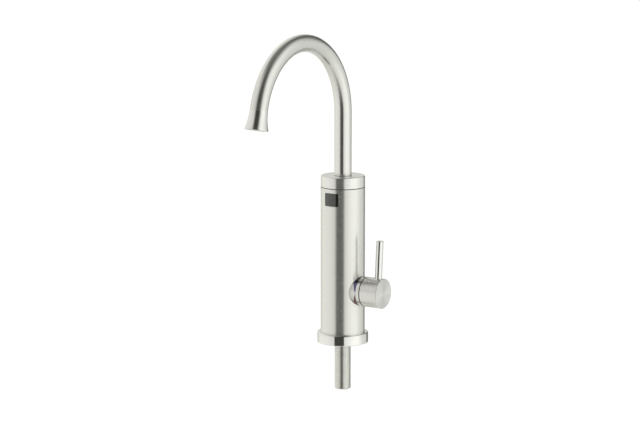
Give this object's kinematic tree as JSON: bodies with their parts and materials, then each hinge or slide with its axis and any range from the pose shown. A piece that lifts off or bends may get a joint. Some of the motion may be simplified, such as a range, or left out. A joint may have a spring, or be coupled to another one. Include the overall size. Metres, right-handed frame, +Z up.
{
  "type": "electric instant water heater tap",
  "caption": "Tall kitchen tap with a swivelling gooseneck spout, a heater column with a display window, a side lever knob and a threaded inlet shank.",
  "frame": {"origin": "centre of the foot's underside, on the worktop face, on the shank's axis", "axes": "+Z up along the body and the shank's axis, -Y towards the spout and the display, +X towards the handle"},
  "size_m": [0.0948, 0.2413, 0.4667],
  "materials": {
    "brushed_body": "fine vertical brushing",
    "brushed_spout": "fine brushing along the tube",
    "polished_steel": "polished",
    "spun_knob": "turned, with a spun face",
    "shank_steel": "turned and threaded",
    "brass": "machined",
    "rubber": "matt",
    "smoked_lens": "smoked, glossy",
    "cold_enamel": "glossy enamel",
    "hot_enamel": "glossy enamel",
    "white_resin": "moulded",
    "black_resin": "moulded, glass filled",
    "ceramic": "fired and lapped",
    "circuit_board": "solder mask",
    "button_red": "moulded",
    "spring_steel": "drawn wire"
  },
  "bodies": {
    "column": {"base_flange": "polished_steel", "base_gasket": "rubber", "shank": "shank_steel", "inlet_strainer": "white_resin", "cord_gland": "rubber", "base_screws": "polished_steel", "earth_screw": "brass", "body_shell": "brushed_body", "chassis": "white_resin", "terminal_block": "white_resin", "inlet_pipe": "brass", "valve_body": "brass", "cartridge_case": "white_resin", "port_seal": "rubber", "fixed_disc": "ceramic", "cartridge_nut": "brass", "valve_collar": "polished_steel", "cold_mark": "cold_enamel", "hot_mark": "hot_enamel", "switch_cup": "black_resin", "diaphragm": "rubber", "switch_cover": "black_resin", "microswitch": "black_resin", "hot_feed_pipe": "brass", "tank_shell": "black_resin", "tank_lid": "black_resin", "tank_seal": "rubber", "heating_coil": "polished_steel", "coil_terminals": "ceramic", "thermal_cutout": "black_resin", "temperature_sensor": "brass", "control_board": "circuit_board", "board_parts": "black_resin", "hot_outlet_pipe": "brass", "cold_bypass_pipe": "brass", "outlet_socket": "brass", "socket_screws": "polished_steel", "cap_seal": "rubber", "top_cap": "brushed_body", "display_lens": "smoked_lens", "display_frame": "black_resin", "display_board": "circuit_board", "led_module": "black_resin", "plunger_spring": "spring_steel"},
    "spout": {"spout_tube": "brushed_spout", "spout_tail": "brass", "spout_o_rings": "rubber", "snap_ring": "spring_steel", "spout_washer": "white_resin", "nozzle_shell": "polished_steel", "aerator_insert": "white_resin"},
    "handle": {"handle_knob": "spun_knob", "handle_lever": "polished_steel", "grub_screw": "spring_steel", "spindle": "brass", "spindle_o_ring": "rubber", "moving_disc": "ceramic"},
    "plunger": {"switch_plunger": "white_resin"},
    "switch_button": {"switch_button": "button_red"}
  },
  "joints": [
    {"name": "spout_swivel", "type": "hinge", "parent": "column", "child": "spout", "pos_m": [0, 0, 0.2169], "axis": [0, 0, 1], "continuous": true},
    {"name": "handle_turn", "type": "hinge", "parent": "column", "child": "handle", "pos_m": [0.0493, 0, 0.069], "axis": [1, 0, 0], "range_deg": [0, 180]},
    {"name": "plunger_lift", "type": "slide", "parent": "column", "child": "plunger", "axis": [0, 0, 1], "range_m": [0, 0.0015], "stiffness_N_per_m": 400, "springref_m": -0.001, "deforming": ["plunger_spring"]},
    {"name": "button_press", "type": "slide", "parent": "column", "child": "switch_button", "axis": [0, 0, 1], "range_m": [0, 0.0015]}
  ],
  "couplings": [
    {"joint": "button_press", "follows": "plunger_lift", "ratio": 1}
  ]
}
